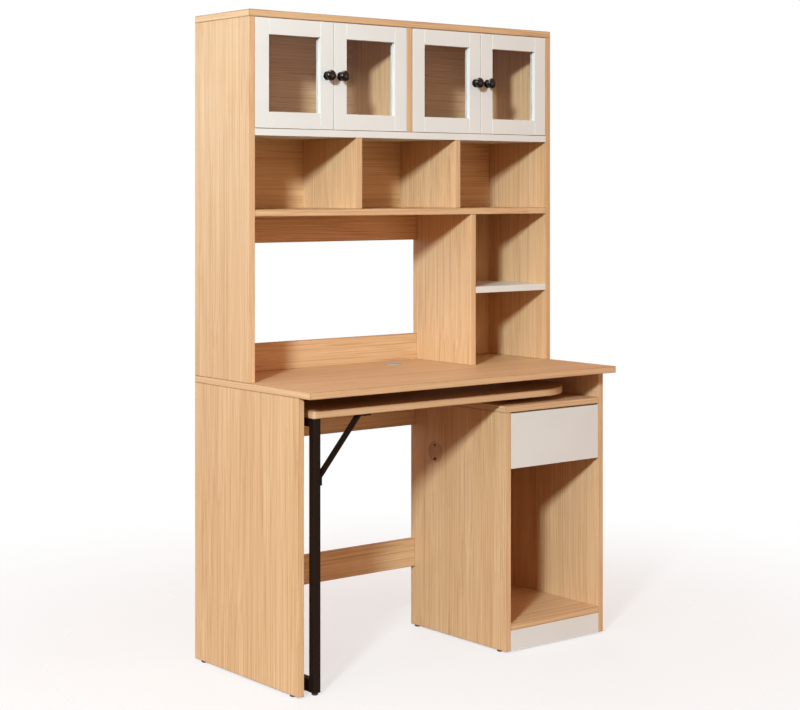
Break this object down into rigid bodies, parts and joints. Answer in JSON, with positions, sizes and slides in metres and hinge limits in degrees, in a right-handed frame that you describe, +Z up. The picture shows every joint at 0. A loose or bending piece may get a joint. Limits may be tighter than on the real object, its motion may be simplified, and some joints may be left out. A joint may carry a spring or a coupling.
{
  "type": "computer desk",
  "caption": "Computer desk with a bookcase hutch, glazed inset doors, a drawer pedestal with a computer bay, and a second top that swings out on a steel leg frame.",
  "frame": {"origin": "on the floor, below the centre of the desktop's outline", "axes": "+Z up, -Y towards the user, +X to the user's right, where the pedestal stands"},
  "size_m": [1, 0.498, 1.626],
  "materials": {
    "laminate": "oak-look laminate with a fine open grain, satin",
    "white_board": "warm white foil, satin",
    "pane": "clear float glass",
    "knob": "black gloss lacquer",
    "powder_coat": "dark brown-black powder coat, fine texture",
    "pivot_steel": "black electrocoat",
    "zinc_slide": "zinc-plated rolled steel",
    "drawer_box": "birch-look foil, matt",
    "grommet": "warm grey moulded plastic",
    "cable_ring": "tan moulded plastic",
    "glide": "brown moulded plastic"
  },
  "bodies": {
    "carcass": {"left_leg_panel": "laminate", "right_leg_panel": "laminate", "desktop": "laminate", "rear_rail": "laminate", "lower_stretcher": "laminate", "pedestal_left_panel": "laminate", "pedestal_top": "laminate", "pedestal_shelf": "laminate", "pedestal_back_panel": "laminate", "hutch_left_side": "laminate", "hutch_right_side": "laminate", "hutch_top": "laminate", "cubby_shelf": "laminate", "door_bay_divider": "laminate", "cubby_divider_left": "laminate", "cubby_divider_right": "laminate", "column_divider": "laminate", "hutch_back_panel": "laminate", "column_back_panel": "laminate", "upper_back_rail": "laminate", "lower_back_rail": "laminate", "kick_board": "white_board", "cabinet_floor": "white_board", "column_shelf": "white_board", "pivot_base": "pivot_steel", "left_cabinet_slide": "zinc_slide", "right_cabinet_slide": "zinc_slide", "desktop_grommet": "grommet", "pedestal_cable_ring": "cable_ring", "left_leg_front_glide": "glide", "left_leg_rear_glide": "glide", "right_leg_front_glide": "glide", "right_leg_rear_glide": "glide", "pedestal_front_glide": "glide", "pedestal_rear_glide": "glide"},
    "door_1": {"door_1_frame": "white_board", "door_1_glass": "pane", "door_1_knob": "knob"},
    "door_2": {"door_2_frame": "white_board", "door_2_glass": "pane", "door_2_knob": "knob"},
    "door_3": {"door_3_frame": "white_board", "door_3_glass": "pane", "door_3_knob": "knob"},
    "door_4": {"door_4_frame": "white_board", "door_4_glass": "pane", "door_4_knob": "knob"},
    "drawer": {"drawer_front": "white_board", "drawer_left_side": "drawer_box", "drawer_right_side": "drawer_box", "drawer_back": "drawer_box", "drawer_floor": "drawer_box", "left_drawer_slide": "zinc_slide", "right_drawer_slide": "zinc_slide"},
    "swing_top": {"swing_top_board": "laminate", "leg_frame": "powder_coat", "frame_brace": "powder_coat", "pivot_cap": "pivot_steel", "frame_front_glide": "glide", "frame_rear_glide": "glide"}
  },
  "joints": [
    {"name": "door_1_hinge", "type": "hinge", "parent": "carcass", "child": "door_1", "pos_m": [-0.4815, 0.004, 1.473], "axis": [0, 0, -1], "range_deg": [0, 105]},
    {"name": "door_2_hinge", "type": "hinge", "parent": "carcass", "child": "door_2", "pos_m": [-0.01, 0.004, 1.473], "axis": [0, 0, 1], "range_deg": [0, 84]},
    {"name": "door_3_hinge", "type": "hinge", "parent": "carcass", "child": "door_3", "pos_m": [0.01, 0.004, 1.473], "axis": [0, 0, -1], "range_deg": [0, 84]},
    {"name": "door_4_hinge", "type": "hinge", "parent": "carcass", "child": "door_4", "pos_m": [0.4815, 0.004, 1.473], "axis": [0, 0, 1], "range_deg": [0, 105]},
    {"name": "drawer_slide", "type": "slide", "parent": "carcass", "child": "drawer", "axis": [0, -1, 0], "range_m": [0, 0.18]},
    {"name": "swing_top_pivot", "type": "hinge", "parent": "carcass", "child": "swing_top", "pos_m": [0.285, -0.051, 0.642], "axis": [0, 0, 1], "range_deg": [0, 90]}
  ]
}
